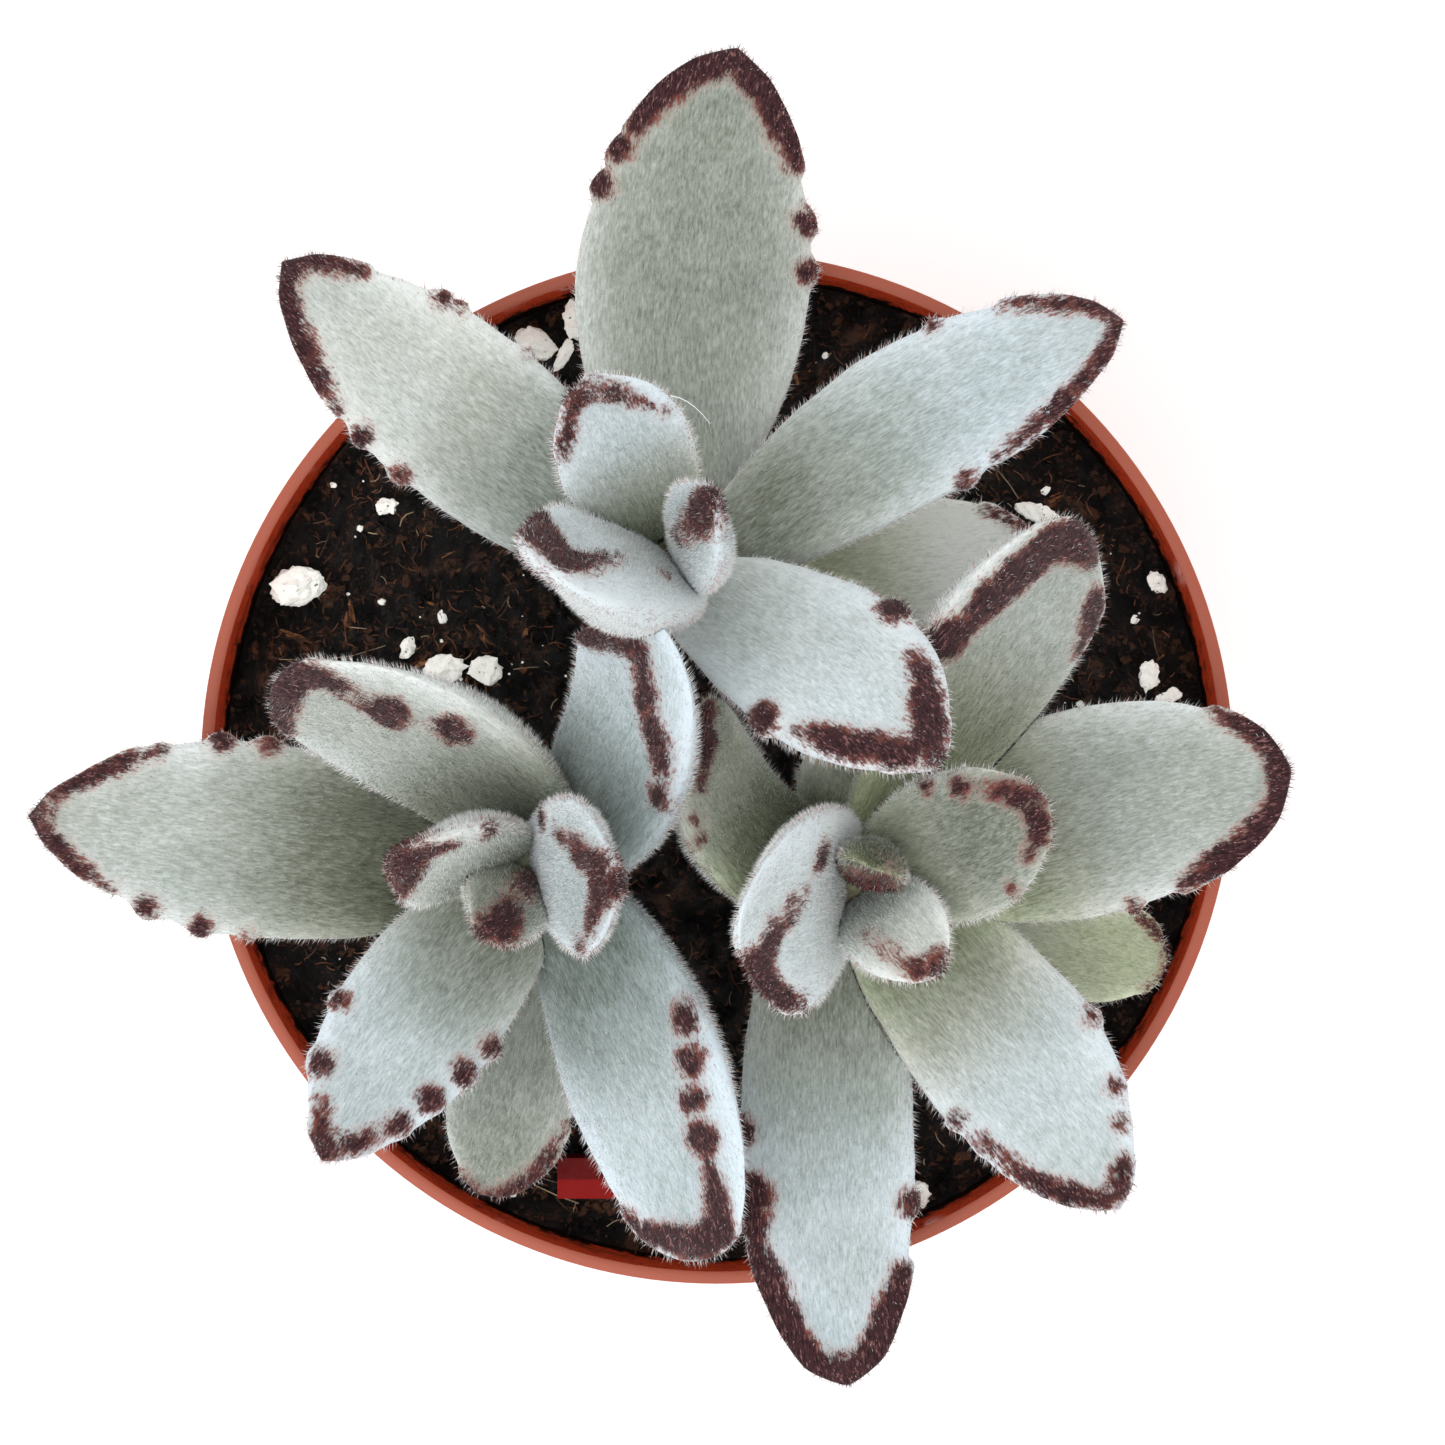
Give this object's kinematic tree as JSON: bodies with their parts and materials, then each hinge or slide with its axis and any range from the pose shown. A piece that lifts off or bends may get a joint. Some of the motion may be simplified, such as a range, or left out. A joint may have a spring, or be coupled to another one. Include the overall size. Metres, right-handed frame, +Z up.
{
  "type": "potted succulent plant",
  "caption": "Potted panda plant: rosettes of thick felted leaves with brown-edged tips, growing on short stems in soil in a tapered plastic nursery pot.",
  "frame": {"origin": "middle of the pot's underside, on the surface it stands on", "axes": "+Z up along the pot's axis, +Y towards the longest leaf, which leans out over the rim"},
  "size_m": [0.1225, 0.1307, 0.1382],
  "materials": {
    "terracotta_plastic": "satin",
    "peat_soil": "matte",
    "felted_leaf": "matte",
    "stem": "matte",
    "perlite": "matte",
    "label_plastic": "satin"
  },
  "bodies": {
    "root": {"pot": "terracotta_plastic", "soil": "peat_soil", "plant_label": "label_plastic", "stem_a": "stem", "stem_b": "stem", "stem_c": "stem", "leaf_a1": "felted_leaf", "leaf_a2": "felted_leaf", "leaf_a3": "felted_leaf", "leaf_a4": "felted_leaf", "leaf_a5": "felted_leaf", "leaf_a6": "felted_leaf", "leaf_a7": "felted_leaf", "leaf_a8": "felted_leaf", "leaf_b1": "felted_leaf", "leaf_b2": "felted_leaf", "leaf_b3": "felted_leaf", "leaf_b4": "felted_leaf", "leaf_b5": "felted_leaf", "leaf_b6": "felted_leaf", "leaf_b7": "felted_leaf", "leaf_b8": "felted_leaf", "leaf_b9": "felted_leaf", "leaf_c1": "felted_leaf", "leaf_c2": "felted_leaf", "leaf_c3": "felted_leaf", "leaf_c4": "felted_leaf", "leaf_c5": "felted_leaf", "leaf_c6": "felted_leaf", "leaf_c7": "felted_leaf", "leaf_c8": "felted_leaf", "leaf_c9": "felted_leaf", "leaf_c10": "felted_leaf", "leaf_c11": "felted_leaf", "perlite_01": "perlite", "perlite_02": "perlite", "perlite_03": "perlite", "perlite_04": "perlite", "perlite_05": "perlite", "perlite_06": "perlite", "perlite_07": "perlite", "perlite_08": "perlite", "perlite_09": "perlite", "perlite_10": "perlite", "perlite_11": "perlite", "perlite_12": "perlite", "perlite_13": "perlite", "perlite_14": "perlite"}
  },
  "joints": []
}
